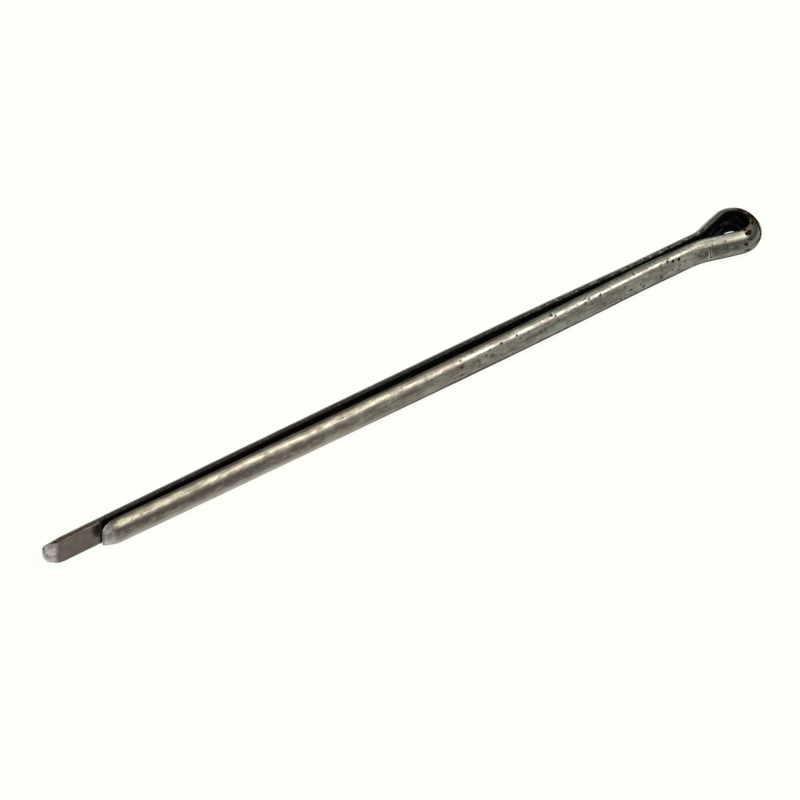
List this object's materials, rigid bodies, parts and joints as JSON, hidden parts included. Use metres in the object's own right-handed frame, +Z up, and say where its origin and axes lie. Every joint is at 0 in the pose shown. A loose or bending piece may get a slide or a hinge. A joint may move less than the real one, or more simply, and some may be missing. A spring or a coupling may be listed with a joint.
{
  "type": "cotter pin",
  "caption": "Split pin of half-round steel wire folded into an eye, with two parallel legs of unequal length that form a round shank.",
  "frame": {"origin": "the neck, the point on the shank's axis where the short leg comes out of the eye and turns along the axis", "axes": "+X along the shank from the eye to the ends of the legs, +Y toward the short leg, +Z up with the pin lying flat on its eye"},
  "size_m": [0.0823, 0.0054, 0.0028],
  "materials": {
    "steel": "bare drawn steel, dull, with fine lengthwise drawing lines, small dark pits and a few specks of rust"
  },
  "bodies": {
    "root": {"pin": "steel"}
  },
  "joints": []
}
